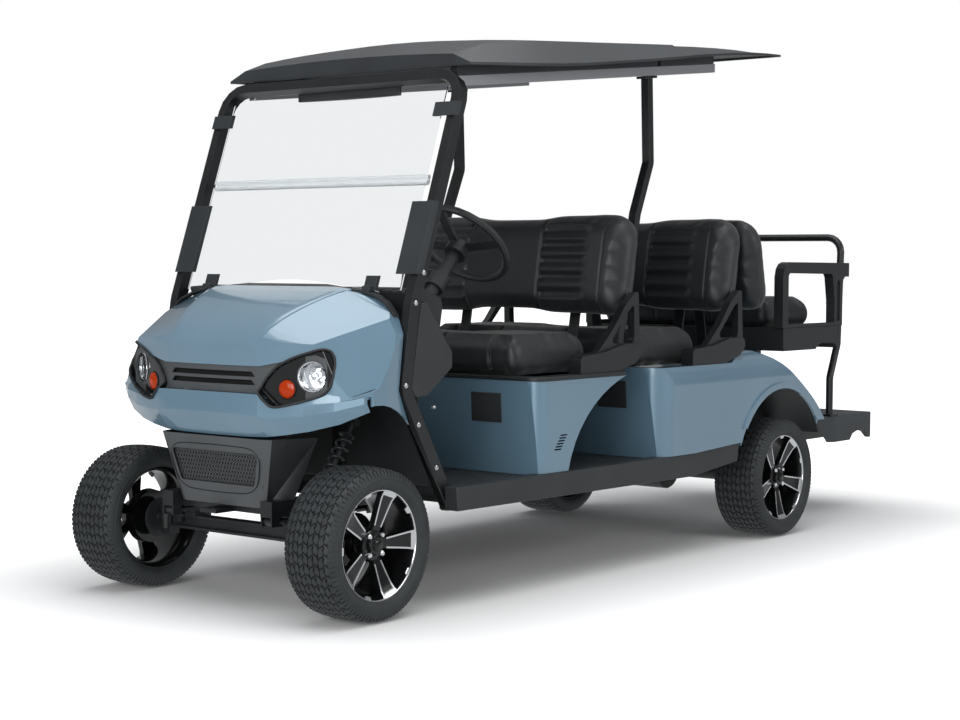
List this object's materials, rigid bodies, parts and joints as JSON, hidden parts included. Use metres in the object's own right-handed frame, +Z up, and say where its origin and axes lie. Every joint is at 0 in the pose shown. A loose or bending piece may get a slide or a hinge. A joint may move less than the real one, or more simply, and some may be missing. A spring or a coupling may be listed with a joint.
{
  "type": "six-seat golf cart",
  "caption": "Open six-seat golf cart with a long roof, folding windscreen, three bench seats, a rear-facing tail seat and step, and steered front wheels.",
  "frame": {"origin": "on the ground, at the middle of the cart's length and width", "axes": "+X to the vehicle's left, -Y forwards, +Z up"},
  "size_m": [1.262, 3.74, 1.974],
  "materials": {
    "blue_paint": "gloss",
    "black_frame": "satin powder coat",
    "black_plastic": "grained",
    "dark_grey_plastic": "grained",
    "grey_plastic": "grained",
    "roof_plastic": "grained",
    "floor_rubber": "ribbed",
    "black_vinyl": "soft vinyl",
    "tyre_rubber": "matt",
    "wheel_alloy": "gloss black with machined edges",
    "cast_steel": "painted",
    "spring_steel": "dark",
    "rail_aluminium": "satin",
    "clear_glass": "clear",
    "lamp_clear": "clear lens",
    "lamp_amber": "amber lens",
    "mirror_shell": "grained",
    "battery_case": "plain"
  },
  "bodies": {
    "chassis": {"main_frame": "black_frame", "floor_deck": "floor_rubber", "rocker_panels": "dark_grey_plastic", "front_cowl": "blue_paint", "cowl_trim": "black_plastic", "nose_panel": "dark_grey_plastic", "lower_fascia": "black_plastic", "headlamps": "lamp_clear", "indicator_lamps": "lamp_amber", "dash_panel": "black_plastic", "kick_panels": "dark_grey_plastic", "front_roof_hoop": "black_frame", "windscreen": "clear_glass", "windscreen_fittings": "black_plastic", "mirror": "mirror_shell", "roof_front": "roof_plastic", "roof_rear": "roof_plastic", "roof_rails": "rail_aluminium", "mid_roof_struts": "black_frame", "front_seat_base": "blue_paint", "rear_body": "blue_paint", "front_seat_back": "black_vinyl", "second_seat_back": "black_vinyl", "rear_seat_back": "black_vinyl", "seat_back_brackets": "black_frame", "hip_restraints": "black_frame", "rear_seat_box": "black_plastic", "rear_armrests": "black_plastic", "grab_hoop": "black_frame", "rear_step": "grey_plastic", "front_axle_beam": "cast_steel", "front_springs": "spring_steel", "rear_axle": "cast_steel", "rear_springs": "spring_steel", "front_shocks": "spring_steel", "front_seat_deck": "black_plastic", "pedestal_covers": "dark_grey_plastic", "bumper_band": "blue_paint", "drive_motor": "cast_steel", "battery_block": "battery_case", "steering_column": "black_plastic", "steering_gear": "cast_steel", "pedals": "black_frame"},
    "knuckle_left": {"knuckle_left": "cast_steel"},
    "knuckle_right": {"knuckle_right": "cast_steel"},
    "tie_rod": {"tie_rod": "spring_steel"},
    "drag_link": {"drag_link": "spring_steel"},
    "steering_wheel": {"steering_wheel": "black_plastic"},
    "front_seat_cushion": {"front_seat_cushion": "black_vinyl"},
    "second_seat_cushion": {"second_seat_cushion": "black_vinyl"},
    "rear_seat_cushion": {"rear_seat_cushion": "black_vinyl"},
    "road_wheel_front_left": {"tyre_front_left": "tyre_rubber", "wheel_front_left": "wheel_alloy"},
    "road_wheel_front_right": {"tyre_front_right": "tyre_rubber", "wheel_front_right": "wheel_alloy"},
    "road_wheel_rear_left": {"tyre_rear_left": "tyre_rubber", "wheel_rear_left": "wheel_alloy"},
    "road_wheel_rear_right": {"tyre_rear_right": "tyre_rubber", "wheel_rear_right": "wheel_alloy"}
  },
  "joints": [
    {"name": "steer_left", "type": "hinge", "parent": "chassis", "child": "knuckle_left", "pos_m": [0.3755, -1.632, 0.238], "axis": [0, 0, 1], "range_deg": [-30, 30]},
    {"name": "steer_right", "type": "hinge", "parent": "chassis", "child": "knuckle_right", "pos_m": [-0.3755, -1.632, 0.238], "axis": [0, 0, 1], "range_deg": [-30, 30]},
    {"name": "steering_turn", "type": "hinge", "parent": "chassis", "child": "steering_wheel", "pos_m": [0.31, -0.913, 1.1625], "axis": [0, 0.6947, 0.7193], "range_deg": [-450, 450]},
    {"name": "tie_rod_pivot", "type": "hinge", "parent": "knuckle_left", "child": "tie_rod", "pos_m": [0.3755, -1.512, 0.2125], "axis": [0, 0, 1], "range_deg": [-30, 30]},
    {"name": "drag_link_pivot", "type": "hinge", "parent": "knuckle_left", "child": "drag_link", "pos_m": [0.3755, -1.512, 0.2605], "axis": [0, 0, 1], "range_deg": [-30, 30]},
    {"name": "front_left_spin", "type": "hinge", "parent": "knuckle_left", "child": "road_wheel_front_left", "pos_m": [0.4955, -1.632, 0.238], "axis": [1, 0, 0], "continuous": true},
    {"name": "front_right_spin", "type": "hinge", "parent": "knuckle_right", "child": "road_wheel_front_right", "pos_m": [-0.4955, -1.632, 0.238], "axis": [1, 0, 0], "continuous": true},
    {"name": "rear_left_spin", "type": "hinge", "parent": "chassis", "child": "road_wheel_rear_left", "pos_m": [0.5285, 0.772, 0.238], "axis": [1, 0, 0], "continuous": true},
    {"name": "rear_right_spin", "type": "hinge", "parent": "chassis", "child": "road_wheel_rear_right", "pos_m": [-0.5285, 0.772, 0.238], "axis": [1, 0, 0], "continuous": true},
    {"name": "front_seat_lift", "type": "hinge", "parent": "chassis", "child": "front_seat_cushion", "pos_m": [0, -0.396, 0.7143], "axis": [-1, 0, 0], "range_deg": [0, 40]},
    {"name": "second_seat_lift", "type": "hinge", "parent": "chassis", "child": "second_seat_cushion", "pos_m": [0, 0.329, 0.7143], "axis": [-1, 0, 0], "range_deg": [0, 40]},
    {"name": "rear_seat_lift", "type": "hinge", "parent": "chassis", "child": "rear_seat_cushion", "pos_m": [0, 0.938, 0.8323], "axis": [1, 0, 0], "range_deg": [0, 40]}
  ],
  "couplings": [
    {"joint": "steer_right", "follows": "steer_left", "ratio": 1},
    {"joint": "steering_turn", "follows": "steer_left", "ratio": 15},
    {"joint": "tie_rod_pivot", "follows": "steer_left", "ratio": -1},
    {"joint": "drag_link_pivot", "follows": "steer_left", "ratio": -1}
  ]
}
